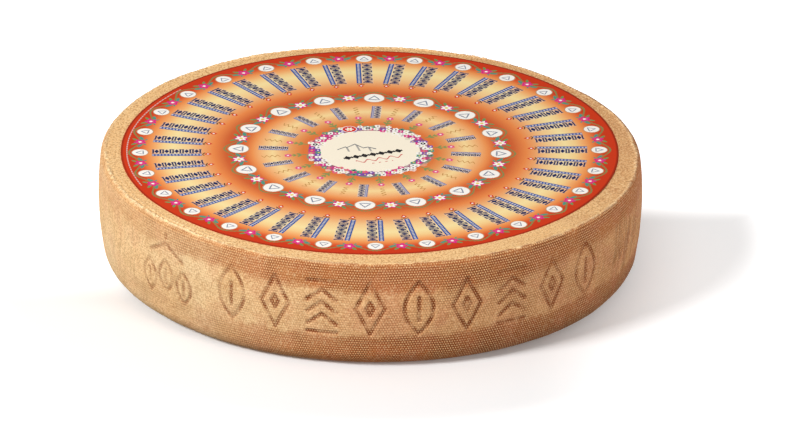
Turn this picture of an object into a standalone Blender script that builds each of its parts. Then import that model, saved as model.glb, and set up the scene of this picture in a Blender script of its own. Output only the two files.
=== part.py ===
"""A whole wheel of hard mountain cheese with a round paper label on its upper face.

Frame: metres, +Z up, the origin at the centre of the face that the wheel rests on.
"""

import math

import bmesh
import bpy

# The wheel, as turned about +Z.
WHEEL_RADIUS = 0.280  # at its widest level
FACE_HEIGHT = 0.1168  # from the resting face to the upper face
WIDEST_LEVEL = 0.65  # the level of the greatest radius, as a share of the height
SIDE_PULL_IN = 0.0048  # how far the side has pulled in, half a height from its widest level
UPPER_EDGE_RADIUS = 0.0040  # the upper edge is nearly square
LOWER_EDGE_RADIUS = 0.0220  # the lower edge is pressed round by the mould
TURN_STEPS = 96
SIDE_STEPS = 7
UPPER_EDGE_STEPS = 3
LOWER_EDGE_STEPS = 6

# The label, a thin paper disc pasted on the upper face.
LABEL_RADIUS = 0.2568
LABEL_THICKNESS = 0.0004
LABEL_CENTRE = (-0.0008, 0.0052)  # it sits a little off the wheel's axis
LABEL_GAP = 0.0003  # between the rind and the paper, so that the two solids stay apart
LABEL_STEPS = 128

RIND_COLOUR = (0.68, 0.36, 0.13, 1.0)
LABEL_COLOUR = (0.86, 0.34, 0.09, 1.0)

AXIS_MERGE = 0.00001


def clear_scene():
    for obj in list(bpy.data.objects):
        bpy.data.objects.remove(obj)


def make_material(name, colour, roughness):
    material = bpy.data.materials.new(name)
    material.use_nodes = True
    shader = material.node_tree.nodes["Principled BSDF"]
    shader.inputs["Base Color"].default_value = colour
    shader.inputs["Roughness"].default_value = roughness
    shader.inputs["Metallic"].default_value = 0.0
    material.diffuse_color = colour
    return material


def add_object(name, mesh, material):
    obj = bpy.data.objects.new(name, mesh)
    mesh.materials.append(material)
    bpy.context.scene.collection.objects.link(obj)
    return obj


def side_offset(height):
    """How far a height is from the widest level, in half wheel heights."""
    return (height - WIDEST_LEVEL * FACE_HEIGHT) / (FACE_HEIGHT / 2)


def side_radius(height):
    return WHEEL_RADIUS - SIDE_PULL_IN * side_offset(height) ** 2


def side_normal_angle(height):
    """The angle of the side's outward normal above the horizontal."""
    return math.atan(2 * SIDE_PULL_IN * side_offset(height) / (FACE_HEIGHT / 2))


def edge_arc(edge_radius, face_height, face_angle, steps):
    """Points from a flat face, whose normal has face_angle, round to the tangent of the side."""
    centre_height = face_height - edge_radius * math.sin(face_angle)
    side_angle = side_normal_angle(centre_height)
    tangent_height = centre_height + edge_radius * math.sin(side_angle)
    centre_radius = side_radius(tangent_height) - edge_radius * math.cos(side_angle)
    points = []
    for step in range(steps + 1):
        angle = face_angle + (side_angle - face_angle) * step / steps
        radius = centre_radius + edge_radius * math.cos(angle)
        points.append((radius, centre_height + edge_radius * math.sin(angle)))
    return points


def wheel_profile():
    """Half of the wheel's section as (radius, height), from the top of the axis to its foot."""
    upper = edge_arc(UPPER_EDGE_RADIUS, FACE_HEIGHT, math.pi / 2, UPPER_EDGE_STEPS)
    lower = edge_arc(LOWER_EDGE_RADIUS, 0.0, -math.pi / 2, LOWER_EDGE_STEPS)
    top, foot = upper[-1][1], lower[-1][1]
    heights = [top + (foot - top) * step / SIDE_STEPS for step in range(1, SIDE_STEPS)]
    side = [(side_radius(height), height) for height in heights]
    return [(0.0, FACE_HEIGHT)] + upper + side + lower[::-1] + [(0.0, 0.0)]


def make_cheese_wheel():
    """One solid: the section's outline turned once round the axis."""
    outline = [(radius, 0.0, height) for radius, height in wheel_profile()]
    edges = [(index, index + 1) for index in range(len(outline) - 1)]
    mesh = bpy.data.meshes.new("cheese_wheel")
    mesh.from_pydata(outline, edges, [])
    wheel = add_object("cheese_wheel", mesh, make_material("rind", RIND_COLOUR, 0.75))
    turn = wheel.modifiers.new("turn", "SCREW")
    turn.angle = 2 * math.pi
    turn.steps = turn.render_steps = TURN_STEPS
    turn.use_merge_vertices = True
    turn.merge_threshold = AXIS_MERGE
    turn.use_smooth_shade = True
    return wheel


def make_top_label():
    """A flat disc that lies on the upper face."""
    shape = bmesh.new()
    bmesh.ops.create_cone(
        shape,
        cap_ends=True,
        segments=LABEL_STEPS,
        radius1=LABEL_RADIUS,
        radius2=LABEL_RADIUS,
        depth=LABEL_THICKNESS,
    )
    mesh = bpy.data.meshes.new("top_label")
    shape.to_mesh(mesh)
    shape.free()
    mesh.shade_smooth()
    mesh.set_sharp_from_angle(angle=math.radians(30))
    label = add_object("top_label", mesh, make_material("label_paper", LABEL_COLOUR, 0.45))
    middle_height = FACE_HEIGHT + LABEL_GAP + LABEL_THICKNESS / 2
    label.location = (LABEL_CENTRE[0], LABEL_CENTRE[1], middle_height)
    return label


def main():
    clear_scene()
    make_cheese_wheel()
    make_top_label()


main()
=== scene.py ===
"""The looks of a whole cheese wheel: its cloth-marked rind, its printed paper label, a pale studio.

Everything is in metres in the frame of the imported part: +Z up, the origin under the wheel's middle,
and -Y at the front. Angles go round +Z from +X, so the front of the rind is at -90 degrees.
"""

import math

import bpy
import numpy as np
from mathutils import Matrix, Vector


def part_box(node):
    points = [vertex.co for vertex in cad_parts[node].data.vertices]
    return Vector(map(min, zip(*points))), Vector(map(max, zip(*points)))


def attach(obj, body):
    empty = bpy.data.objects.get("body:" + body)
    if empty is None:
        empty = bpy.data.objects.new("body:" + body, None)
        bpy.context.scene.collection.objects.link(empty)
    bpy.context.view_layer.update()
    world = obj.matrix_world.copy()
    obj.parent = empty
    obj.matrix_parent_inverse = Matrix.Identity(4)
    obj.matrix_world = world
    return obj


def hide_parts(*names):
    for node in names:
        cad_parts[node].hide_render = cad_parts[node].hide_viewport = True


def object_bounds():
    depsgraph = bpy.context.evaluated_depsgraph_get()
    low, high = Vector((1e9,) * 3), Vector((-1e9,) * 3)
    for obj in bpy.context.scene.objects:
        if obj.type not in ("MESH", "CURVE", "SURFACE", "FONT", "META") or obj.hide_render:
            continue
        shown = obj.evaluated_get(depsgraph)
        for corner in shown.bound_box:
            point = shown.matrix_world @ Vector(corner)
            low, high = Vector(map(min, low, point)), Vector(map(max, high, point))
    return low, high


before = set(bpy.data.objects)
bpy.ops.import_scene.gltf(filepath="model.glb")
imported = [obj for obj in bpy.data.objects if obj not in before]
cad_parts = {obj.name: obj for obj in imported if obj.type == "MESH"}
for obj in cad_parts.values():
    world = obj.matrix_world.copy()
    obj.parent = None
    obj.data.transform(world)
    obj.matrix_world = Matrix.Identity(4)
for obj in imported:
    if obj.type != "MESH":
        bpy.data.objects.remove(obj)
cad_low, cad_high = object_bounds()
wheel_low, wheel_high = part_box("cheese_wheel")
label_low, label_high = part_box("top_label")

# The wheel's section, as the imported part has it.
WHEEL_RADIUS = (wheel_high.x - wheel_low.x) / 2
FACE_HEIGHT = wheel_high.z
WIDEST_LEVEL = 0.65
SIDE_PULL_IN = 0.0048
UPPER_EDGE_RADIUS = 0.0040
LOWER_EDGE_RADIUS = 0.0220

LABEL_RADIUS = (label_high.x - label_low.x) / 2
LABEL_CENTRE = (label_low + label_high) / 2

TURN = 2 * math.pi

# The rind's mesh: fine rows and columns on the side and the edges, fewer on the flat faces.
FINE_COLUMNS = 2592  # divides by three four times
ROW_PITCH = 0.0007
FINE_FROM_RADIUS = 0.262  # on the upper face, out to the edge
FINE_TO_RADIUS = 0.244  # on the lower face, in from the edge

# The wheel has settled a little out of round: its radius swings by this share, twice round.
OUT_OF_ROUND = 0.012

# The marks that the press cloth has left.
NUBS_AROUND = 648
NUB_PITCH = 0.0027
NUB_HEIGHT = 0.00078
CREASE_DEPTH = 0.0011
GROOVE_DEPTH = 0.0012  # of the pressed frieze
UNDER_LIP_DEPTH = 0.0003
LIP_HEIGHT = 0.0005  # where it is lowest; it stands higher in three places

# The baking layout: the side in strips one over another, and the two faces beside each other.
BAKE_STRIPS = 3
BAKE_STRIP_HEIGHT = 0.233
BAKE_GAP = 0.004


def linear(*srgb):
    """An 8-bit display colour as the linear colour that shaders take."""
    parts = [value / 255 for value in srgb]
    return tuple(p / 12.92 if p <= 0.04045 else ((p + 0.055) / 1.055) ** 2.4 for p in parts) + (1.0,)


def smooth(values):
    clipped = np.clip(values, 0.0, 1.0)
    return clipped * clipped * (3 - 2 * clipped)


def ramp(values, start, end):
    """0 before start, 1 past end, smooth between them; start may lie above end."""
    return smooth((values - start) / (end - start))


def hump(offset, reach):
    """1 where the offset is 0, and falling smoothly away to nothing over about twice the reach."""
    return np.exp(-((offset / reach) ** 2))


def angle_gap(theta, centre):
    """How far angles are from a centre, from -pi to pi."""
    return (theta - centre + math.pi) % TURN - math.pi


def near_angle(theta, degrees, reach):
    """A hump over one stretch of the turn, as a row; the reach is in radians."""
    return hump(angle_gap(theta, math.radians(degrees)), reach)[None, :]


# --- Shaders and objects ------------------------------------------------------------------------


class Expression:
    """A node socket that plain arithmetic turns into Math nodes."""

    def __init__(self, tree, socket):
        self.tree = tree
        self.socket = socket

    def math(self, operation, *others):
        node = self.tree.nodes.new("ShaderNodeMath")
        node.operation = operation
        for port, item in zip(node.inputs, (self,) + others):
            plug(self.tree, item, port)
        return Expression(self.tree, node.outputs[0])

    def __add__(self, other):
        return self.math("ADD", other)

    def __sub__(self, other):
        return self.math("SUBTRACT", other)

    def __mul__(self, other):
        return self.math("MULTIPLY", other)

    def __neg__(self):
        return self.math("MULTIPLY", -1.0)

    __radd__ = __add__
    __rmul__ = __mul__

    def __rsub__(self, other):
        return (-self) + other

    def __abs__(self):
        return self.math("ABSOLUTE")

    def either(self, other):
        return self.math("MAXIMUM", other)

    def wrapped(self, half):
        return self.math("WRAP", half, -half)

    def sine(self):
        return self.math("SINE")

    def cosine(self):
        return self.math("COSINE")

    def below(self, edge, soft):
        """1 under the edge and 0 over it, with a soft step."""
        value = self
        if isinstance(edge, Expression):
            value, edge = self - edge, 0.0
        node = self.tree.nodes.new("ShaderNodeMapRange")
        node.interpolation_type = "SMOOTHSTEP"
        plug(self.tree, value, node.inputs["Value"])
        node.inputs["From Min"].default_value = edge - soft
        node.inputs["From Max"].default_value = edge + soft
        node.inputs["To Min"].default_value = 1.0
        node.inputs["To Max"].default_value = 0.0
        return Expression(self.tree, node.outputs["Result"])

    def above(self, edge, soft):
        return 1.0 - self.below(edge, soft)

def plug(tree, item, port):
    """Links an expression to a port, or sets the port to a plain value."""
    if isinstance(item, Expression):
        tree.links.new(item.socket, port)
    elif isinstance(item, bpy.types.NodeSocket):
        tree.links.new(item, port)
    else:
        port.default_value = item


def length_of(x, y):
    return (x * x + y * y).math("SQRT")


def angle_of(x, y):
    return y.math("ARCTAN2", x)


def coordinates(tree, kind="Object"):
    return tree.nodes.new("ShaderNodeTexCoord").outputs[kind]


def axes_of(tree, vector):
    """The x, y and z of a vector socket."""
    split = tree.nodes.new("ShaderNodeSeparateXYZ")
    tree.links.new(vector, split.inputs[0])
    return [Expression(tree, socket) for socket in split.outputs]


class Paint:
    """A surface's colour, made up of colours laid one over another."""

    def __init__(self, tree, colour):
        self.tree = tree
        self.colour = colour

    def lay(self, ink, mask):
        """Lays a colour where the mask is 1, and a part of it where the mask is less."""
        node = self.tree.nodes.new("ShaderNodeMix")
        node.data_type = "RGBA"
        node.clamp_factor = True
        plug(self.tree, mask, node.inputs["Factor"])
        plug(self.tree, self.colour, node.inputs["A"])
        plug(self.tree, ink, node.inputs["B"])
        self.colour = node.outputs["Result"]


def colour_ramp(tree, position, stops, interpolation="LINEAR"):
    """A gradient through (position, colour) stops."""
    node = tree.nodes.new("ShaderNodeValToRGB")
    node.color_ramp.interpolation = interpolation
    plug(tree, position, node.inputs["Fac"])
    points = node.color_ramp.elements
    while len(points) < len(stops):
        points.new(1.0)
    for point, (place, colour) in zip(points, stops):
        point.position = place
        point.color = colour
    return node.outputs["Color"]


def noise(tree, vector, scale, detail, roughness=0.5):
    node = tree.nodes.new("ShaderNodeTexNoise")
    plug(tree, vector, node.inputs["Vector"])
    node.inputs["Scale"].default_value = scale
    node.inputs["Detail"].default_value = detail
    node.inputs["Roughness"].default_value = roughness
    return Expression(tree, node.outputs["Fac"])


def attribute(tree, name):
    node = tree.nodes.new("ShaderNodeAttribute")
    node.attribute_name = name
    return Expression(tree, node.outputs["Fac"])


def new_material(name):
    material = bpy.data.materials.new(name)
    material.use_nodes = True
    tree = material.node_tree
    return material, tree, tree.nodes["Principled BSDF"]


def finish_surface(tree, shader, colour, roughness, specular, relief, strength, depth):
    """Gives a shader its colour and its roughness, a weak reflection, and fine relief as a bump."""
    tree.links.new(colour, shader.inputs["Base Color"])
    plug(tree, roughness, shader.inputs["Roughness"])
    shader.inputs["Specular IOR Level"].default_value = specular
    bump = tree.nodes.new("ShaderNodeBump")
    bump.inputs["Strength"].default_value = strength
    bump.inputs["Distance"].default_value = depth
    plug(tree, relief, bump.inputs["Height"])
    tree.links.new(bump.outputs["Normal"], shader.inputs["Normal"])


def add_object(name, data):
    made = bpy.data.objects.new(name, data)
    bpy.context.scene.collection.objects.link(made)
    return made


# --- The rind's shape ---------------------------------------------------------------------------


def side_offset(height):
    return (height - WIDEST_LEVEL * FACE_HEIGHT) / (FACE_HEIGHT / 2)


def side_radius(height):
    return WHEEL_RADIUS - SIDE_PULL_IN * side_offset(height) ** 2


def side_normal_angle(height):
    return math.atan(2 * SIDE_PULL_IN * side_offset(height) / (FACE_HEIGHT / 2))


def edge_arc(edge_radius, face_height, face_angle, steps):
    """Points from a flat face round to the tangent of the side, as (radius, height)."""
    centre_height = face_height - edge_radius * math.sin(face_angle)
    side_angle = side_normal_angle(centre_height)
    tangent_height = centre_height + edge_radius * math.sin(side_angle)
    centre_radius = side_radius(tangent_height) - edge_radius * math.cos(side_angle)
    angles = np.linspace(face_angle, side_angle, steps + 1)
    return np.stack(
        [centre_radius + edge_radius * np.cos(angles), centre_height + edge_radius * np.sin(angles)],
        axis=1,
    )


def fine_section():
    """Evenly spaced rows from the upper face round the side to the lower face.

    Gives each row's (radius, height), its outward normal, and its distance below the upper edge.
    """
    upper = edge_arc(UPPER_EDGE_RADIUS, FACE_HEIGHT, math.pi / 2, 12)
    lower = edge_arc(LOWER_EDGE_RADIUS, 0.0, -math.pi / 2, 40)[::-1]
    heights = np.linspace(upper[-1, 1], lower[0, 1], 80)[1:-1]
    side = np.stack([side_radius(heights), heights], axis=1)
    start, end = [[FINE_FROM_RADIUS, FACE_HEIGHT]], [[FINE_TO_RADIUS, 0.0]]
    line = np.concatenate([start, upper, side, lower, end])
    lengths = np.concatenate([[0.0], np.cumsum(np.linalg.norm(np.diff(line, axis=0), axis=1))])
    rows = np.linspace(0.0, lengths[-1], int(round(lengths[-1] / ROW_PITCH)) + 1)
    points = np.stack([np.interp(rows, lengths, line[:, axis]) for axis in (0, 1)], axis=1)
    tangents = np.gradient(points, axis=0)
    normals = np.stack([-tangents[:, 1], tangents[:, 0]], axis=1)
    normals /= np.linalg.norm(normals, axis=1, keepdims=True)
    return points, normals, rows - lengths[1]


def turn_noise(theta, along, cells_around, cell_length, seed, lean=0.0):
    """Smooth random values from -1 to 1 that meet where the turn closes.

    A lean shears the noise round the turn, by an angle for each point.
    """
    generator = np.random.default_rng(seed)
    down = ((along - along.min()) / cell_length)[:, None]
    lattice = generator.uniform(-1.0, 1.0, (int(down.max()) + 2, cells_around))
    across = ((theta[None, :] + lean) / TURN % 1.0) * cells_around
    row, column = down.astype(int), across.astype(int) % cells_around
    row_share, column_share = smooth(down - row), smooth(across - np.floor(across))
    column_next = (column + 1) % cells_around
    upper = lattice[row, column] * (1 - column_share) + lattice[row, column_next] * column_share
    lower = lattice[row + 1, column] * (1 - column_share) + lattice[row + 1, column_next] * column_share
    return upper * (1 - row_share) + lower * row_share


def cloth_nubs(theta, along, seed):
    """The dimples of the press cloth as raised nubs, 0 in the gaps and 1 on each nub."""
    drift = turn_noise(theta, along, 60, 0.030, seed)
    lift = turn_noise(theta, along, 40, 0.040, seed + 1)
    stagger = smooth(0.5 + 1.4 * np.cos(theta + 0.75))[None, :]
    lines = along[:, None] / NUB_PITCH + 0.35 * lift
    row_number = np.floor(lines + 0.5)
    around = NUBS_AROUND * theta[None, :] + 1.3 * drift + math.pi * row_number * stagger
    return (0.5 + 0.5 * np.cos(TURN * lines)) ** 0.6 * (0.5 + 0.5 * np.cos(around)) ** 0.6


def stroke_distance(across, up, path):
    """The distance from points to an open line through the points of path."""
    nearest = np.full(across.shape, np.inf)
    for (x0, y0), (x1, y1) in zip(path[:-1], path[1:]):
        dx, dy = x1 - x0, y1 - y0
        share = np.clip(((across - x0) * dx + (up - y0) * dy) / (dx * dx + dy * dy), 0.0, 1.0)
        nearest = np.minimum(nearest, np.hypot(across - x0 - share * dx, up - y0 - share * dy))
    return nearest


def leaf_outline(width, height):
    """Both sides of a tall pointed leaf and its vein."""
    turns = np.linspace(-1.0, 1.0, 9)
    right = [(width / 2 * (1 - t * t), height / 2 * t) for t in turns]
    left = [(-x, y) for x, y in right]
    vein = [(0.0, -0.24 * height), (0.0, 0.20 * height)]
    return [right, left, vein]


def lozenge_outline(width, height):
    """A tall lozenge round a small one."""
    top, right, foot, left = (0.0, height / 2), (width / 2, 0.0), (0.0, -height / 2), (-width / 2, 0.0)
    outer = [top, right, foot, left, top]
    inner = [(0.24 * x, 0.24 * y) for x, y in outer]
    return [outer, inner]


def chevron_outline(width, height):
    """Three chevrons one over another between two short bars."""
    paths = [[(-width / 2, level * height), (width / 2, level * height)] for level in (-0.5, 0.5)]
    for level in (-0.34, -0.10, 0.14):
        arm = [(-width / 2, level), (0.0, level + 0.20), (width / 2, level)]
        paths.append([(x, y * height) for x, y in arm])
    return paths


def gable_outline(width, height):
    """Three small leaves under a gable with a dot over its point."""
    gable = [(-0.34 * width, 0.22 * height), (0.0, 0.44 * height), (0.34 * width, 0.22 * height)]
    paths = [gable, [(0.0, 0.54 * height), (0.0, 0.60 * height)]]
    for shift in (-0.36, 0.0, 0.36):
        lift = -0.24 if shift else -0.14
        for path in leaf_outline(0.28 * width, 0.56 * height):
            paths.append([(x + shift * width, y + lift * height) for x, y in path])
    return paths


MARK_LEVEL = 0.585  # the middle of the frieze, as a share of the wheel's height
MARK_HALF_WIDTH = 0.0023
MARK_MARGIN = 0.006  # how far beside a mark its strokes are worked out
FRIEZE_REPEATS = 2  # round the turn, so that the back has the front's marks too
# Each stretch of the frieze: (first angle, last angle, how many, width, height, shapes taken in turn)
FRIEZE = (
    (-139.0, -139.0, 1, 0.074, 0.062, (gable_outline,)),
    (-120.5, -38.5, 9, 0.030, 0.057, (leaf_outline, lozenge_outline, chevron_outline, lozenge_outline)),
    (-24.0, -15.5, 2, 0.014, 0.030, (lozenge_outline,)),
)
LABEL_BED = label_low.z - FACE_HEIGHT - 0.00003  # the face rises to meet the label's paper


def frieze_grooves(theta, heights):
    """How deep in the pressed frieze each point is, from 0 to 1."""
    groove = np.zeros((len(heights), len(theta)))
    up = heights[:, None] - MARK_LEVEL * FACE_HEIGHT
    for first, last, count, width, height, shapes in FRIEZE:
        for index, degrees in enumerate(np.linspace(first, last, count)):
            for repeat in range(FRIEZE_REPEATS):
                centre = math.radians(degrees) + repeat * TURN / FRIEZE_REPEATS
                across = angle_gap(theta, centre) * WHEEL_RADIUS
                near = np.abs(across) < width / 2 + MARK_MARGIN
                patch = np.zeros((len(heights), near.sum()))
                for path in shapes[index % len(shapes)](width, height):
                    distance = stroke_distance(across[None, near], up, path)
                    stroke = ramp(distance, 1.5 * MARK_HALF_WIDTH, 0.5 * MARK_HALF_WIDTH)
                    patch = np.maximum(patch, stroke)
                groove[:, near] = np.maximum(groove[:, near], patch)
    return groove


def crease_field(theta, along):
    """Upright creases, where the cloth has dragged down the side."""
    lean = (along[:, None] * 0.22 + 0.010 * turn_noise(theta, along[:1], 30, 0.05, 47)) / WHEEL_RADIUS
    lines = 1.4 * np.maximum(0.0, turn_noise(theta, along, 560, 0.038, 45, lean) - 0.08)
    where = near_angle(theta, -10, 0.40) + 0.35 * near_angle(theta, -160, 0.20)
    where += 0.6 * near_angle(theta, 120, 0.50)
    broken = 0.55 + 0.6 * turn_noise(theta, along, 90, 0.012, 46)
    return lines * where * broken


def cloth_bands(theta, along, level, wander, on_side):
    """Where the cloth's bands are under the upper edge and over the foot, and the side between them."""
    fray = turn_noise(theta, along, 300, 0.005, 12)
    edge = level[:, None] + 0.020 * wander + 0.020 * fray
    upper = ramp(edge + 0.055 * near_angle(theta, -80, 0.62), 0.750, 0.840) * on_side
    lower = ramp(edge, 0.35, 0.28) * on_side
    middle = (1 - upper) * (1 - lower) * on_side
    return upper, lower, middle


def cloth_strength(theta, along, upper_band, lower_band, middle):
    """How strongly the weave stands out: most in the bands, and least at the wheel's left and right."""
    patchy = 0.80 + 0.35 * turn_noise(theta, along, 110, 0.014, 23)
    faint = np.maximum(near_angle(theta, -172, 0.45), near_angle(theta, -4, 0.30))
    middle_cloth = 0.52 + 0.26 * near_angle(theta, -58, 0.62)
    return (0.95 * upper_band + 0.92 * lower_band + middle_cloth * middle) * patchy * (1 - 0.6 * faint)


def frieze_depth(theta, along, heights, on_side):
    """The frieze, pressed unevenly and fading towards the wheel's left and right."""
    groove = frieze_grooves(theta, heights) * on_side
    groove *= 0.85 + 0.35 * turn_noise(theta, along, 230, 0.007, 24)
    for degrees, share, spread in ((-142, 0.32, 0.42), (-18, 0.45, 0.22)):
        groove *= 1 - share * near_angle(theta, degrees, spread)
    return groove


def crumbly_lip(theta, along):
    """The lip on the upper edge and a second one inside it: their height, and how pale they are."""
    size = np.full((1, len(theta)), LIP_HEIGHT)
    for degrees, extra, reach in ((-142, 0.0013, 0.55), (-16, 0.0006, 0.60), (95, 0.0005, 0.9)):
        size += extra * near_angle(theta, degrees, reach)
    from_line = along[:, None] - (-0.0004 + 0.0013 * turn_noise(theta, along[:1], 64, 0.01, 31))
    lip = hump(from_line, 0.0017) * size
    second = hump(from_line + 0.0062, 0.0015) * near_angle(theta, -140, 0.42)
    crumbs = turn_noise(theta, along, 420, 0.0035, 32) + 0.8 * turn_noise(theta, along, 1100, 0.0016, 33)
    height = (lip + 0.0007 * second) * (0.80 + 0.65 * crumbs)
    pale = (lip / 0.0014 + 0.6 * second) * (0.75 + 0.6 * crumbs)
    return height, np.clip(pale, 0.0, 1.0)


def plain_swells(theta, along):
    """The wheel's slow swells, shallow dents and fine grain."""
    swell = 0.00060 * turn_noise(theta, along, 18, 0.060, 41)
    dents = 0.00025 * turn_noise(theta, along, 75, 0.018, 42)
    grain = 0.00010 * turn_noise(theta, along, 620, 0.0028, 44)
    return swell + dents + grain


def rind_relief(theta, along, points):
    """The height of the rind over its plain section, and the masks that its colours read."""
    radii, heights, level = points[:, 0], points[:, 1], points[:, 1] / FACE_HEIGHT
    free_top = ramp(along, -0.0180, -0.0120)
    off_floor = ramp(level, 0.0, 0.06)
    ragged = 0.0014 * turn_noise(theta, along, 360, 0.004, 13)
    ragged += 0.0014 * turn_noise(theta, along, 100, 0.02, 14)
    on_side = ramp(along[:, None] + ragged, -0.0004, 0.0012) * ramp(level, -0.01, 0.03)[:, None]
    wander = turn_noise(theta, along, 44, 0.030, 11)

    upper_band, lower_band, middle = cloth_bands(theta, along, level, wander, on_side)
    nub = cloth_nubs(theta, along, 21)
    cloth = cloth_strength(theta, along, upper_band, lower_band, middle)
    groove = frieze_depth(theta, along, heights, on_side)
    cloth = np.maximum(cloth, 1.10 * groove)
    lip_height, pale_lip = crumbly_lip(theta, along)
    swells = plain_swells(theta, along) * free_top[:, None]
    crease = crease_field(theta, along) * middle
    under_lip = hump(along[:, None] + ragged - 0.0036, 0.0013) * (0.6 + 0.8 * wander) * on_side

    height = swells + lip_height - CREASE_DEPTH * crease
    height += (NUB_HEIGHT * cloth * (nub - 0.35) - GROOVE_DEPTH * groove
               - UNDER_LIP_DEPTH * np.clip(under_lip, 0.0, 1.0))
    height *= np.where(radii < FINE_TO_RADIUS + 0.03, off_floor, 1.0)[:, None]
    height += LABEL_BED * ((1 - free_top) * (heights > 0.5 * FACE_HEIGHT))[:, None]
    masks = {
        "nub": nub,
        "cloth": cloth,
        "groove": np.clip(groove, 0.0, 1.0),
        "upper_band": upper_band,
        "lower_band": lower_band,
        "lip": pale_lip,
        # The crease mask carries painted shade in the creases and a painted shadow under the lip.
        "crease": np.clip(2.2 * crease + 0.5 * under_lip, 0.0, 1.0),
    }
    return height, masks


def out_of_round(theta):
    return 1 - OUT_OF_ROUND * np.sin(2 * theta)


def turned_rows(points, normals, height, theta):
    """The rows of the section carried round the axis and raised by height."""
    radius = (points[:, :1] + normals[:, :1] * height) * out_of_round(theta)
    level = points[:, 1:] + normals[:, 1:] * height
    return np.stack([radius * np.cos(theta), radius * np.sin(theta), level], axis=2)


def ring_faces(upper, lower):
    """Quads between two rings of equal length, outward where the rings run down the outer side."""
    return np.stack([upper, lower, np.roll(lower, -1), np.roll(upper, -1)], axis=1)


def level_ring(theta, radius, height):
    """Points round the axis, all at one height or each at its own."""
    height = np.broadcast_to(height, theta.shape)
    return np.stack([radius * np.cos(theta), radius * np.sin(theta), height], axis=1)


class MeshRows:
    """Collects the rings of points and the faces of one turned skin."""

    def __init__(self):
        self.vertices = []
        self.count = 0
        self.loops = []
        self.sizes = []

    def add_ring(self, positions):
        first = self.count
        self.vertices.append(positions)
        self.count += len(positions)
        return np.arange(first, self.count)

    def add_faces(self, corners):
        self.loops.append(corners.reshape(-1))
        self.sizes.append(np.full(len(corners), corners.shape[1]))

    def thin_out(self, many, few, below):
        """Joins a ring to one inside it with a third of its points, on the upper face or the one below."""
        a, b, c = many[0::3], many[1::3], many[2::3]
        d = np.roll(a, -1)
        near, far = few, np.roll(few, -1)
        quads = np.stack([b, near, far, c], axis=1)
        first = np.stack([a, near, b], axis=1)
        second = np.stack([c, far, d], axis=1)
        for corners in (quads, first, second):
            self.add_faces(corners if below else corners[:, ::-1])

    def add_fan(self, ring, height, below):
        """Closes a ring with triangles to a point on the axis, on the upper face or the one below."""
        middle = self.add_ring(np.array([[0.0, 0.0, height]]))
        fan = np.stack([ring, np.full(len(ring), middle[0]), np.roll(ring, -1)], axis=1)
        self.add_faces(fan if below else fan[:, ::-1])

    def mesh(self, name):
        data = bpy.data.meshes.new(name)
        corners = np.concatenate(self.loops).astype(np.int32)
        sizes = np.concatenate(self.sizes).astype(np.int32)
        starts = np.concatenate([[0], np.cumsum(sizes)[:-1]]).astype(np.int32)
        data.vertices.add(self.count)
        data.vertices.foreach_set("co", np.concatenate(self.vertices).astype(np.float32).reshape(-1))
        data.loops.add(len(corners))
        data.loops.foreach_set("vertex_index", corners)
        data.polygons.add(len(sizes))
        data.polygons.foreach_set("loop_start", starts)
        data.update(calc_edges=True)
        data.validate()
        data.shade_smooth()
        return data


def face_rings(rows, outer_ring, height, ring_steps, below):
    """Closes a flat face from its outer ring to the axis with ever fewer points."""
    ring, columns = outer_ring, FINE_COLUMNS
    for radius, thin in ring_steps:
        columns = columns // 3 if thin else columns
        theta = np.arange(columns) * TURN / columns
        new = rows.add_ring(level_ring(theta, radius * out_of_round(theta), height))
        if thin:
            rows.thin_out(ring, new, below)
        else:
            faces = ring_faces(ring, new)
            rows.add_faces(faces if below else faces[:, ::-1])
        ring = new
    rows.add_fan(ring, height, below)


# From the rim to the middle of a face: (radius, whether the ring has a third of the points before it)
FACE_RING_STEPS = (
    (0.236, True), (0.228, False), (0.210, False), (0.190, False), (0.170, False), (0.150, True),
    (0.130, False), (0.110, False), (0.090, False), (0.070, True), (0.050, False), (0.030, True),
    (0.012, False),
)


def lay_out_rind(mesh, side_rows, side_corners):
    """Gives the rind a baking layout with no overlaps."""
    corner_count = len(mesh.loops)
    places = np.empty((corner_count, 2), np.float32)
    column, row = np.meshgrid(np.arange(FINE_COLUMNS), np.arange(side_rows))
    strip_columns = FINE_COLUMNS // BAKE_STRIPS
    strip = column // strip_columns
    across = (column - strip * strip_columns)[..., None] + np.array([0, 0, 1, 1])
    down = row[..., None] + np.array([0, 1, 1, 0])
    u = BAKE_GAP + across / strip_columns * (1 - 2 * BAKE_GAP)
    strip_foot = strip[..., None] * BAKE_STRIP_HEIGHT + BAKE_GAP
    v = strip_foot + down / side_rows * (BAKE_STRIP_HEIGHT - 2 * BAKE_GAP)
    places[:side_corners, 0] = u.reshape(-1)
    places[:side_corners, 1] = v.reshape(-1)
    vertex = np.empty(corner_count, np.int32)
    mesh.loops.foreach_get("vertex_index", vertex)
    spots = np.empty(3 * len(mesh.vertices), np.float32)
    mesh.vertices.foreach_get("co", spots)
    spots = spots.reshape(-1, 3)[vertex[side_corners:]]
    faces_high = 1 - BAKE_STRIPS * BAKE_STRIP_HEIGHT
    scale = (faces_high / 2 - BAKE_GAP) / (1.02 * FINE_FROM_RADIUS)
    upward = spots[:, 2] > FACE_HEIGHT / 2
    places[side_corners:, 0] = spots[:, 0] * scale + np.where(upward, 0.5, 1.5) * faces_high
    places[side_corners:, 1] = spots[:, 1] * scale + 1 - faces_high / 2
    layer = mesh.uv_layers.new(name="OFBake")
    layer.data.foreach_set("uv", places.reshape(-1))


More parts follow.
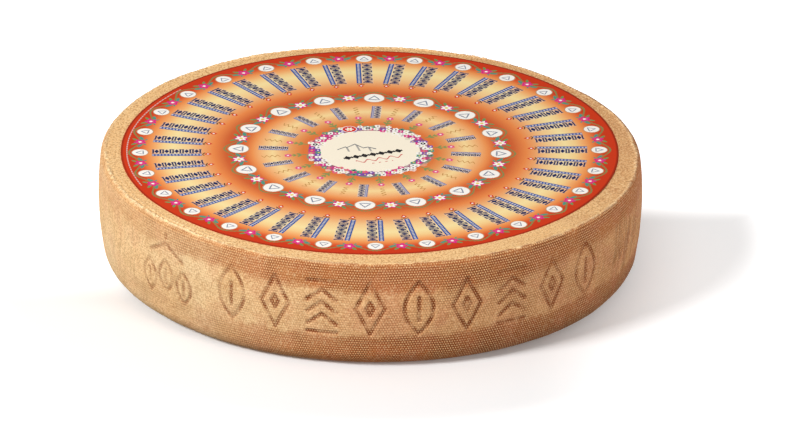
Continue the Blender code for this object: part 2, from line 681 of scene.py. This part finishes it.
def build_rind():
    """The wheel's whole skin as one closed mesh, with the masks on its points."""
    points, normals, along = fine_section()
    theta = np.arange(FINE_COLUMNS) * TURN / FINE_COLUMNS
    height, masks = rind_relief(theta, along, points)
    rows = MeshRows()
    rings = [rows.add_ring(ring) for ring in turned_rows(points, normals, height, theta)]
    for upper, lower in zip(rings[:-1], rings[1:]):
        rows.add_faces(ring_faces(upper, lower))
    side_corners = 4 * FINE_COLUMNS * (len(rings) - 1)
    face_rings(rows, rings[0], FACE_HEIGHT + LABEL_BED, FACE_RING_STEPS, False)
    face_rings(rows, rings[-1], 0.0, FACE_RING_STEPS, True)
    mesh = rows.mesh("rind")
    lay_out_rind(mesh, len(rings) - 1, side_corners)
    for name, values in masks.items():
        flat = np.zeros(len(mesh.vertices), np.float32)
        flat[: values.size] = values.reshape(-1)
        mesh.attributes.new(name, "FLOAT", "POINT").data.foreach_set("value", flat)
    return add_object("cheese_rind", mesh)


# The rind's colours
RIND_STOPS = ((0.30, linear(244, 196, 138)), (0.50, linear(251, 210, 154)), (0.70, linear(254, 221, 169)))
FACE_STRAW = linear(248, 196, 132)
FACE_TOAST = linear(212, 150, 98)
SIDE_SHADE_TAN = linear(235, 170, 115)
RIGHT_END_SHADE_BROWN = linear(196, 122, 62)
UPPER_BAND_AND_SHADE_RUST = linear(192, 100, 38)
LOWER_BAND_AND_SHADE_RUST = linear(172, 84, 34)
FOOT_PAINTED_SHADE = linear(204, 104, 40)
PAINTED_SHADE_BROWN = linear(92, 44, 20)
ROSE = linear(206, 124, 90)
OLIVE = linear(192, 146, 88)
GAP_SHADE_BROWN = linear(120, 60, 24)
NUB_HIGHLIGHT_STRAW = linear(250, 204, 146)
GROOVE_SHADE_BROWN = linear(130, 62, 24)
CREASE_SHADE_BROWN = linear(132, 80, 42)
LIP_CREAM = linear(253, 224, 176)
GRAIN_BROWN = linear(156, 100, 56)
GLINT_CREAM = linear(254, 226, 176)
FLECK_BROWN = linear(176, 116, 66)


def rind_material():
    material, tree, shader = new_material("rind")
    place = coordinates(tree)
    x, y, z = axes_of(tree, place)
    mottle = noise(tree, place, 16.0, 3.0)
    tint = noise(tree, place, 34.0, 3.0)
    grain = noise(tree, place, 520.0, 2.0, 0.6)
    fleck = noise(tree, place, 230.0, 2.0)
    nub = attribute(tree, "nub")
    cloth = attribute(tree, "cloth")
    skin = Paint(tree, colour_ramp(tree, mottle, RIND_STOPS))

    side = z.below(FACE_HEIGHT - 0.003, 0.002)
    face = 1.0 - side
    skin.lay(FACE_STRAW, face * 0.75)
    toasted = (x * 0.9 + y * 0.42 + (tint - 0.5) * 0.40).above(0.17, 0.16)
    skin.lay(FACE_TOAST, toasted * face * 0.75)

    # Painted shade: the side is darker towards the right and the front.
    turned = x * 2.2 - y * 0.9
    side_shade = (turned + (mottle - 0.5) * 0.5).above(0.15, 0.34)
    skin.lay(SIDE_SHADE_TAN, side_shade * side * 0.90)
    # Painted shade on the side at the wheel's right end.
    skin.lay(RIGHT_END_SHADE_BROWN, x.above(0.225, 0.06) * side * 0.40)
    # The cloth's bands have their own darker colour, laid more strongly towards the right and the front as
    # painted shade.
    skin.lay(UPPER_BAND_AND_SHADE_RUST, attribute(tree, "upper_band") * (0.24 + 0.62 * turned.above(-0.12, 0.30)))
    skin.lay(LOWER_BAND_AND_SHADE_RUST, attribute(tree, "lower_band") * (0.08 + 0.74 * turned.above(0.02, 0.30)))
    # Painted shade on the foot, where the side curves under, growing towards the right.
    foot = z.below(0.023, 0.017)
    skin.lay(FOOT_PAINTED_SHADE, foot * (x * 2.0).above(-0.20, 0.28) * 0.80)
    # A deeper painted shade on the foot at the right, laid again over the relief's colours below.
    painted_foot_shade = foot * (x * 2.0).above(0.16, 0.26)
    skin.lay(PAINTED_SHADE_BROWN, painted_foot_shade * 0.90)
    skin.lay(ROSE, tint.above(0.55, 0.07) * side * (0.20 + 0.20 * side_shade))
    skin.lay(OLIVE, tint.below(0.44, 0.07) * side * 0.16)

    # The relief's painted light: painted shade between the nubs, in the marks and in the creases, a
    # painted shadow under the lip, a painted highlight on the nubs, more painted shade on the foot, and
    # the lip's own pale crumbs.
    gaps = (1.0 - nub) * cloth
    skin.lay(GAP_SHADE_BROWN, gaps * (0.74 + 0.22 * side_shade))
    skin.lay(NUB_HIGHLIGHT_STRAW, nub.above(0.62, 0.25) * cloth * (0.70 + 0.20 * side_shade))
    skin.lay(GROOVE_SHADE_BROWN, attribute(tree, "groove") * (0.26 + 0.80 * gaps))
    # Painted shade in the creases and a painted shadow under the lip.
    skin.lay(CREASE_SHADE_BROWN, attribute(tree, "crease") * 0.54)
    # More painted shade on the foot at the right.
    skin.lay(PAINTED_SHADE_BROWN, painted_foot_shade * 0.30)
    skin.lay(LIP_CREAM, attribute(tree, "lip") * 0.80)

    # Fine grain, which shows most where the cloth's marks are weak.
    loose = 1.0 - 0.65 * cloth
    skin.lay(GRAIN_BROWN, grain.below(0.43, 0.07) * loose * 0.58)
    skin.lay(GLINT_CREAM, grain.above(0.58, 0.07) * loose * (0.48 - 0.14 * side_shade * side))
    skin.lay(FLECK_BROWN, fleck.below(0.38, 0.06) * loose * 0.30)
    finish_surface(tree, shader, skin.colour, roughness=0.62 + 0.25 * grain, specular=0.15,
                   relief=grain + fleck * 0.8, strength=0.5, depth=0.0005)
    return material


# --- The label ----------------------------------------------------------------------------------


def lay_out_label(mesh):
    """Gives the label a baking layout: the print large, the rim and the underside small in a corner."""
    middle, reach, corner, corner_reach = 0.465, 0.458, 0.935, 0.055
    layer = mesh.uv_layers.new(name="OFBake")
    for face in mesh.polygons:
        printed = face.normal.z > 0.5
        centre, scale = (middle, reach) if printed else (corner, corner_reach)
        for index in face.loop_indices:
            spot = mesh.vertices[mesh.loops[index].vertex_index].co
            spread = 1.04 if not printed and spot.z > 0 else 1.0
            place = Vector((spot.x, spot.y)) / LABEL_RADIUS * scale * spread
            layer.data[index].uv = (centre + place.x, centre + place.y)


LABEL_COLUMNS = 288
LABEL_RING_SHARES = (
    0.02, 0.06, 0.12, 0.18, 0.25, 0.32, 0.39, 0.46, 0.53, 0.60, 0.67, 0.74, 0.80, 0.86, 0.91, 0.95,
    0.975, 0.99, 0.997,
)
LABEL_BOW = 0.00012


def build_label():
    """A thin paper disc that lies on the rind, turned down a little at its rim."""
    theta = np.arange(LABEL_COLUMNS) * TURN / LABEL_COLUMNS
    radii = LABEL_RADIUS * np.array(LABEL_RING_SHARES)
    top, foot = label_high.z - LABEL_CENTRE.z, label_low.z - LABEL_CENTRE.z
    rows = MeshRows()
    rings = []
    for radius, bow in zip(radii, LABEL_BOW * turn_noise(theta, radii, 22, 0.035, 51)):
        level = top + np.minimum(bow, 0.0) * smooth(radius / LABEL_RADIUS * 3)
        rings.append(rows.add_ring(level_ring(theta, radius, level)))
    for level in (top - 0.0001, foot):
        rings.append(rows.add_ring(level_ring(theta, LABEL_RADIUS, level)))
    for inner, outer in zip(rings[:-1], rings[1:]):
        rows.add_faces(ring_faces(inner, outer))
    rows.add_fan(rings[0], top, False)
    rows.add_fan(rings[-1], foot, True)
    mesh = rows.mesh("label")
    lay_out_label(mesh)
    label = add_object("paper_label", mesh)
    label.location = LABEL_CENTRE
    return label


FINE = 0.0012  # how soft a printed edge is, in label radii

# The label's inks
WHITE = linear(255, 250, 242)
CREAM = linear(255, 243, 220)
VERMILION = linear(214, 60, 34)
NAVY = linear(38, 48, 92)
BLUE = linear(44, 84, 160)
PALE = linear(222, 214, 206)
MAGENTA = linear(222, 44, 134)
PINK = linear(232, 88, 136)
TEAL = linear(84, 152, 132)
LEAF_GREEN = linear(112, 152, 92)
VINE = linear(132, 140, 84)
GOLD = linear(186, 128, 58)
YELLOW = linear(240, 204, 90)
PURPLE = linear(126, 78, 172)
SLATE = linear(96, 112, 140)
VIOLET = linear(96, 100, 162)
GREY = linear(120, 122, 126)
INK = linear(46, 42, 44)
SAND = linear(196, 150, 110)
MAUVE = linear(140, 96, 122)
MOSS = linear(190, 186, 70)
WAVE_RED = linear(206, 50, 60)
ROUNDEL_RED = linear(216, 40, 34)
# Painted shade along the label's cut edge, not an ink.
EDGE_SHADE_RED = linear(132, 42, 22)

# The printed ground from the middle to the rim: (label radii, colour)
GROUND_STOPS = (
    (0.20, linear(230, 112, 54)), (0.27, linear(227, 124, 64)), (0.31, linear(234, 155, 92)),
    (0.35, linear(244, 186, 128)), (0.39, linear(252, 219, 155)), (0.44, linear(246, 180, 120)),
    (0.47, linear(242, 152, 86)), (0.50, linear(224, 112, 58)), (0.54, linear(208, 76, 40)),
    (0.58, linear(212, 102, 54)), (0.63, linear(238, 140, 76)), (0.67, linear(241, 169, 110)),
    (0.72, linear(248, 203, 142)), (0.79, linear(252, 227, 163)), (0.83, linear(250, 209, 142)),
    (0.86, linear(248, 178, 112)), (0.89, linear(241, 146, 80)), (0.92, linear(224, 93, 49)),
    (0.95, linear(206, 62, 30)), (1.00, linear(212, 58, 26)),
)


class Print(Paint):
    """The label's print: inks laid one over another, measured in label radii from its middle."""

    def __init__(self, tree):
        x, y, _ = axes_of(tree, coordinates(tree))
        self.across = x * (1 / LABEL_RADIUS)
        self.up = y * (1 / LABEL_RADIUS)
        self.radius = length_of(self.across, self.up)
        self.angle = angle_of(self.across, self.up)
        uneven = noise(tree, coordinates(tree), 18.0, 3.0)
        super().__init__(tree, colour_ramp(tree, self.radius + (uneven - 0.5) * 0.010, GROUND_STOPS))

    def cell(self, repeats, first_degrees, level):
        """Coordinates in one of the repeats round the label: along the turn, and outward from level."""
        gap = (self.angle - math.radians(first_degrees)).wrapped(math.pi / repeats)
        return gap * self.radius, self.radius - level


def oval(x, y, half_x, half_y, lean=0.0, soft=FINE):
    c, s = math.cos(lean), math.sin(lean)
    if lean:
        x, y = x * c + y * s, y * c - x * s
    return length_of(x * (1 / half_x), y * (1 / half_y)).below(1.0, soft / min(half_x, half_y))


def disc(x, y, radius):
    return oval(x, y, radius, radius)


def petals(x, y, size, count, depth):
    """A flower's outline: depth is how far its notches cut in, as a share of its size."""
    edge = (angle_of(x, y) * count).cosine() * (depth * size) + (1 - depth) * size
    return (length_of(x, y) - edge).below(0.0, FINE)


def print_medallion(sheet, along, out, radius):
    """A white disc with a small peak over a line."""
    sheet.lay(SAND, disc(along, out, radius + 0.004))
    sheet.lay(WHITE, disc(along, out, radius))
    peak = abs(abs(along) * 1.5 + out - 0.50 * radius).below(0.13 * radius, FINE)
    peak = peak * abs(along).below(0.56 * radius, FINE)
    line = oval(along, out + 0.42 * radius, 0.62 * radius, 0.09 * radius)
    sheet.lay(SLATE, peak.either(line) * 0.85)


def print_leafy_flower(sheet, along, out, size):
    """A flower between two leaves, with a spray over each and a smaller leaf under it."""
    aside = abs(along)
    leaf = oval(aside - 1.35 * size, out + 0.1 * size, 0.72 * size, 0.26 * size, 0.45)
    spray = oval(aside - 0.80 * size, out - 0.85 * size, 0.60 * size, 0.22 * size, 0.80)
    low_leaf = oval(aside - 0.85 * size, out + 0.80 * size, 0.34 * size, 0.16 * size, -0.75)
    sheet.lay(TEAL, leaf.either(low_leaf))
    sheet.lay(LEAF_GREEN, spray)
    sheet.lay(MAGENTA, petals(along, out, size, 5, 0.16))


def print_garland(sheet, repeats, first_degrees, level, disc_radius, flower_size, arch):
    """White medallions and flowers by turns, with a budding vine that arches over each medallion."""
    along, out = sheet.cell(repeats, first_degrees, level)
    half_cell = math.pi / repeats * level
    swing = (along * (math.pi / half_cell)).cosine()
    budding = (along * 420.0).sine() * 0.0014 + 0.0042
    vine = abs(out - swing * (0.52 * arch) - 0.58 * arch).below(budding, FINE)
    sheet.lay(VINE, vine * 0.90)
    print_medallion(sheet, along, out, disc_radius)
    along, out = sheet.cell(repeats, first_degrees + 180 / repeats, level + 0.004)
    print_leafy_flower(sheet, along, out, flower_size)
    return along, out


def print_outer_garland(sheet):
    along, out = print_garland(sheet, repeats=28, first_degrees=1.66, level=0.9225, disc_radius=0.031,
                               flower_size=0.0260, arch=0.040)
    sheet.lay(PINK, petals(along, out, 0.0170, 5, 0.25))
    sheet.lay(WHITE, disc(along, out, 0.0062))


def print_inner_garland(sheet):
    along, out = print_garland(sheet, repeats=16, first_degrees=-1.75, level=0.5275, disc_radius=0.040,
                               flower_size=0.030, arch=0.052)
    sheet.lay(WHITE, petals(along, out, 0.0245, 6, 0.22))
    sheet.lay(YELLOW, disc(along, out, 0.0075))


def print_blocks(sheet, repeats, first_degrees, inner, outer, bar_ink, bar, strokes, haze):
    """Radial blocks: a row of lozenges between upright bars, beside a blue band of white dots.

    bar and strokes are each (middle, half width) along the turn; haze is how pale it is behind the row.
    """
    bar_at, bar_half = bar
    strokes_at, strokes_half = strokes
    along, out = sheet.cell(repeats, first_degrees, (inner + outer) / 2)
    inside = abs(out).below((outer - inner) / 2, FINE)
    sheet.lay(bar_ink, abs(along - bar_at).below(bar_half, FINE) * inside)
    dot_step = 1.30 * bar_half
    dots = oval(along - bar_at, out.wrapped(dot_step / 2), 0.50 * bar_half, 0.33 * dot_step)
    sheet.lay(PALE, dots * inside * 0.9)

    step = (outer - inner) / 5
    place = abs(out.wrapped(step / 2))
    aside = abs(along - strokes_at)
    lozenge = place * (1 / (0.25 * step)) + aside * (1 / strokes_half)
    posts = abs(place - 0.36 * step).below(0.085 * step, FINE) * aside.below(strokes_half, FINE)
    rails = abs(aside - 0.90 * strokes_half).below(0.13 * strokes_half, FINE)
    rails = rails * place.above(0.26 * step, FINE)
    sheet.lay(PALE, aside.below(strokes_half + 0.003, 2 * FINE) * inside * haze)
    sheet.lay(NAVY, lozenge.below(1.0, 0.06).either(posts).either(rails) * inside)


def print_outer_blocks(sheet):
    print_blocks(sheet, repeats=40, first_degrees=1.8, inner=0.675, outer=0.875, bar_ink=BLUE,
                 bar=(0.0235, 0.0105), strokes=(-0.0115, 0.0190), haze=0.35)
    along, out = sheet.cell(40, 3.3, 0.650)
    sheet.lay(VERMILION, (abs(along) * 1.3 + abs(out)).below(0.0160, FINE))
    sheet.lay(WHITE, disc(along, out, 0.0046))
    curl = abs(out - 0.0215 + abs(along - 0.004) * 0.5).below(0.0026, FINE)
    sheet.lay(INK, curl * abs(along).below(0.0150, FINE))


def print_inner_blocks(sheet):
    print_blocks(sheet, repeats=16, first_degrees=-3.2, inner=0.3275, outer=0.4475, bar_ink=VIOLET,
                 bar=(0.0105, 0.0062), strokes=(-0.0085, 0.0115), haze=0.65)
    along, out = sheet.cell(16, -14.5, 0.400)
    wave = abs(along - (out * 290.0).sine() * 0.0070).below(0.0034, FINE)
    sheet.lay(GOLD, wave * abs(out).below(0.038, FINE) * 0.85)
    along, out = sheet.cell(16, -14.2, 0.331)
    stem = abs(along).below(0.0032, 2 * FINE) * abs(out + 0.042).below(0.032, FINE)
    leaf = oval(abs(along) - 0.0085, out + 0.046, 0.0125, 0.0052, 0.8)
    sprig = oval(abs(along) - 0.0060, out + 0.026, 0.0085, 0.0036, 0.9)
    sheet.lay(LEAF_GREEN, stem.either(leaf).either(sprig) * 0.85)
    sheet.lay(PINK, petals(along, out, 0.0158, 6, 0.12))
    sheet.lay(WHITE, disc(along, out, 0.0048))


WREATH_INNER, WREATH_OUTER = 0.1975, 0.252
WREATH_MIDDLE, WREATH_WIDTH = (WREATH_INNER + WREATH_OUTER) / 2, WREATH_OUTER - WREATH_INNER
WREATH_CELLS = 42.0  # flowers along one label radius
FLOWER_TINTS = ((0.0, WHITE), (0.32, PINK), (0.40, MAGENTA), (0.56, PURPLE), (0.68, WHITE), (0.88, TEAL))
HEART_TINTS = ((0.0, MOSS), (0.40, WHITE), (0.52, YELLOW), (0.62, WHITE), (0.72, INK), (0.90, YELLOW))


def print_wreath_ground(sheet):
    sheet.lay(CREAM, sheet.radius.below(WREATH_INNER + 0.006, 0.002))
    along, out = sheet.cell(5, 52.0, WREATH_OUTER - 0.004)
    sheet.lay(TEAL, oval(along, out, 0.036, 0.0125, soft=0.004) * 0.75)
    ring = abs(sheet.radius - WREATH_MIDDLE)
    sheet.lay(MAUVE, ring.below(0.40 * WREATH_WIDTH, 0.003) * 0.9)


def print_wreath(sheet):
    """A dense ring of small flowers, each in its own cell and with its own colour."""
    tree = sheet.tree
    cells = tree.nodes.new("ShaderNodeTexVoronoi")
    cells.voronoi_dimensions = "2D"
    cells.inputs["Randomness"].default_value = 0.45
    cells.inputs["Scale"].default_value = 1.0
    join = tree.nodes.new("ShaderNodeCombineXYZ")
    plug(tree, sheet.across * WREATH_CELLS, join.inputs["X"])
    plug(tree, sheet.up * WREATH_CELLS, join.inputs["Y"])
    tree.links.new(join.outputs[0], cells.inputs["Vector"])
    middle_x, middle_y, _ = axes_of(tree, cells.outputs["Position"])
    inside = abs(length_of(middle_x, middle_y) * (1 / WREATH_CELLS) - WREATH_MIDDLE)
    inside = inside.below(WREATH_WIDTH / 2, 0.002)
    x = sheet.across * WREATH_CELLS - middle_x
    y = sheet.up * WREATH_CELLS - middle_y
    hue = tree.nodes.new("ShaderNodeSeparateColor")
    tree.links.new(cells.outputs["Color"], hue.inputs[0])
    pick = Expression(tree, hue.outputs["Red"])
    size = Expression(tree, hue.outputs["Green"]) * 0.14 + 0.48
    edge = (angle_of(x, y) * 5.0).cosine() * 0.09 + size
    flowers = (length_of(x, y) - edge).below(0.0, 0.05)
    print_wreath_ground(sheet)
    sheet.lay(colour_ramp(tree, pick, FLOWER_TINTS, "CONSTANT"), flowers * inside)
    hearts = length_of(x, y).below(0.17, 0.04)
    sheet.lay(colour_ramp(tree, pick, HEART_TINTS, "CONSTANT"), hearts * inside)

    along, out = sheet.cell(5, 20.0, 0.228)
    sheet.lay(WHITE, petals(along, out, 0.0200, 8, 0.15))
    sheet.lay(INK, disc(along, out, 0.0105))
    sheet.lay(WHITE, disc(along, out, 0.0035))


# The centre's mountains: (across, up, how steep, half the length of the shading)
PEAKS = ((-0.098, 0.040, 0.90, 0.020), (-0.060, 0.068, 1.05, 0.030), (-0.008, 0.040, 0.50, 0.018))


def print_mountains(sheet):
    x, y = sheet.across, sheet.up
    flanks = [peak_y - abs(x - peak_x) * slope for peak_x, peak_y, slope, _ in PEAKS]
    ridge = flanks[0].either(flanks[1]).either(flanks[2])
    sheet.lay(GREY, abs(y - ridge).below(0.0040, FINE) * abs(x + 0.052).below(0.078, FINE))
    for peak_x, peak_y, _, reach in PEAKS:
        shade = abs(x - peak_x - 0.004 + (y - peak_y) * 0.25).below(0.0042, FINE)
        shade = shade * abs(y - peak_y + reach + 0.006).below(reach, FINE)
        sheet.lay(GREY, shade * 0.7)


def print_centre(sheet):
    """A mountain ridge, a dark band of lozenges and a red wave on the plain middle."""
    print_mountains(sheet)
    lean = math.radians(20)
    along = sheet.across * math.cos(lean) + sheet.up * math.sin(lean) - 0.002
    out = sheet.up * math.cos(lean) - sheet.across * math.sin(lean) + 0.034
    bead_step = 0.036
    from_bead = abs(along.wrapped(bead_step / 2))
    beads = (from_bead * 1.15 + abs(out)).below(0.0195, FINE)
    dots = oval(from_bead - bead_step / 2, out, 0.0050, 0.0085)
    sheet.lay(INK, beads.either(dots) * abs(along).below(0.125, FINE))
    wave = abs(out + 0.050 - (along * 130.0).sine() * 0.011).below(0.0034, FINE)
    sheet.lay(WAVE_RED, wave * abs(along - 0.012).below(0.100, FINE))
    dashes = abs(out + 0.082).below(0.0028, FINE) * abs(along.wrapped(0.014)).below(0.0046, FINE)
    sheet.lay(WAVE_RED, dashes * abs(along - 0.004).below(0.052, FINE))


def print_roundel(sheet):
    """A small red roundel with a white six-petal flower, among the wreath's flowers."""
    turn, from_middle = math.radians(111), 0.231
    x = sheet.across - from_middle * math.cos(turn)
    y = sheet.up - from_middle * math.sin(turn)
    sheet.lay(WHITE, disc(x, y, 0.031))
    sheet.lay(ROUNDEL_RED, disc(x, y, 0.0275))
    sheet.lay(WHITE, petals(x, y, 0.0185, 6, 0.24))
    sheet.lay(YELLOW, disc(x, y, 0.0055))


def print_rim(sheet):
    """The plain rim, with a dashed hairline along a part of it and painted shade along its cut edge."""
    sheet.lay(EDGE_SHADE_RED, sheet.radius.above(0.9915, 0.0025) * 0.65)
    dashes = abs((sheet.angle * 150.0).sine()).above(0.35, 0.1)
    stretch = abs((sheet.angle - math.radians(171.5)).wrapped(math.pi)).below(math.radians(29.5), 0.004)
    hairline = abs(sheet.radius - 0.975).below(0.0022, FINE)
    sheet.lay(PALE, hairline * dashes * stretch * 0.75)


def label_material():
    material, tree, shader = new_material("label_paper")
    sheet = Print(tree)
    print_rim(sheet)
    print_outer_garland(sheet)
    print_outer_blocks(sheet)
    print_inner_garland(sheet)
    print_inner_blocks(sheet)
    print_wreath(sheet)
    print_centre(sheet)
    print_roundel(sheet)
    fibre = noise(tree, coordinates(tree), 420.0, 3.0)
    finish_surface(tree, shader, sheet.colour, roughness=0.62 + 0.16 * fibre, specular=0.05,
                   relief=fibre, strength=0.15, depth=0.0002)
    return material


# --- The studio ---------------------------------------------------------------------------------

CAMERA_DISTANCE = 16.0
CAMERA_ELEVATION = math.radians(24.30)
CAMERA_ROLL = math.radians(0.35)
VIEW_WIDTH = 0.8260  # what the frame spans across the wheel's middle
AIM_RIGHT, AIM_UP = 0.0308, -0.0076  # how far the view's middle is from the wheel's middle
FLOOR_HALF_SIZE = 30.0


def add_camera():
    data = bpy.data.cameras.new("camera")
    data.lens = data.sensor_width / 2 / (VIEW_WIDTH / 2 / CAMERA_DISTANCE)
    data.clip_end = 100.0
    camera = add_object("camera", data)
    back = Vector((0.0, -math.cos(CAMERA_ELEVATION), math.sin(CAMERA_ELEVATION)))
    level_up = Vector((0.0, math.sin(CAMERA_ELEVATION), math.cos(CAMERA_ELEVATION)))
    right = Vector((math.cos(CAMERA_ROLL), 0.0, 0.0)) + level_up * math.sin(CAMERA_ROLL)
    up = back.cross(right)
    middle = (cad_low + cad_high) / 2
    place = middle + right * AIM_RIGHT + up * AIM_UP + back * CAMERA_DISTANCE
    turn = Matrix((right, up, back)).transposed()
    camera.matrix_world = Matrix.Translation(place) @ turn.to_4x4()
    bpy.context.scene.camera = camera


def add_floor():
    mesh = bpy.data.meshes.new("floor")
    signs = ((-1, -1), (1, -1), (1, 1), (-1, 1))
    corners = [(x * FLOOR_HALF_SIZE, y * FLOOR_HALF_SIZE, 0.0) for x, y in signs]
    mesh.from_pydata(corners, [], [(0, 1, 2, 3)])
    floor = add_object("floor", mesh)
    material, tree, shader = new_material("floor")
    shader.inputs["Base Color"].default_value = (0.95, 0.945, 0.945, 1.0)
    shader.inputs["Roughness"].default_value = 0.7
    shader.inputs["Specular IOR Level"].default_value = 0.1
    shader.inputs["Emission Color"].default_value = (1.0, 0.99, 0.985, 1.0)
    x, y, _ = axes_of(tree, coordinates(tree))
    # The floor glows away from the wheel, so that it stays white to the horizon, and in two places behind
    # it, where it hides shadow that the first view shouldn't show. On the wheel's right it glows less
    # strongly, to soften the shadow there. It is set for the first view: from above the shadow looks cut.
    behind = x.above(0.20, 0.09) * y.above(0.13, 0.04)
    behind = behind.either(x.below(-0.12, 0.16) * y.above(-0.06, 0.06))
    clear = length_of(x, y).above(0.44, 0.06).either(behind)
    plug(tree, x.above(0.25, 0.10) * 0.42 + clear * 0.75, shader.inputs["Emission Strength"])
    mesh.materials.append(material)
    floor.visible_diffuse = False


def add_softbox(name, place, target, size, power):
    data = bpy.data.lights.new(name, "AREA")
    data.shape = "DISK"
    data.size = size
    data.energy = power
    light = add_object(name, data)
    light.location = place
    light.rotation_euler = (Vector(target) - Vector(place)).to_track_quat("-Z", "Y").to_euler()


def add_studio():
    world = bpy.data.worlds.new("studio")
    world.use_nodes = True
    tree = world.node_tree
    sky = tree.nodes["Background"]
    sky.inputs["Color"].default_value = (1.0, 1.0, 1.0, 1.0)
    # The room is white along the horizon, as behind the floor, and dimmer above and below.
    _, _, up = axes_of(tree, coordinates(tree, "Generated"))
    strength = 0.21 + up.above(0.0, 0.1) * 0.09 + abs(up).below(0.06, 0.02) * 0.90
    plug(tree, strength, sky.inputs["Strength"])
    bpy.context.scene.world = world
    bpy.context.scene.view_settings.view_transform = "Standard"
    add_softbox("key", (-2.60, -1.80, 2.36), target=(0.0, 0.0, 0.05), size=1.2, power=138.0)
    add_softbox("front", (2.35, -2.5, 1.2), target=(0.0, 0.0, 0.06), size=1.4, power=52.0)


def main():
    add_camera()
    rind = build_rind()
    rind.data.materials.append(rind_material())
    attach(rind, "root")
    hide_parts("cheese_wheel")
    label = build_label()
    label.data.materials.append(label_material())
    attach(label, "root")
    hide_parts("top_label")
    add_floor()
    add_studio()


main()
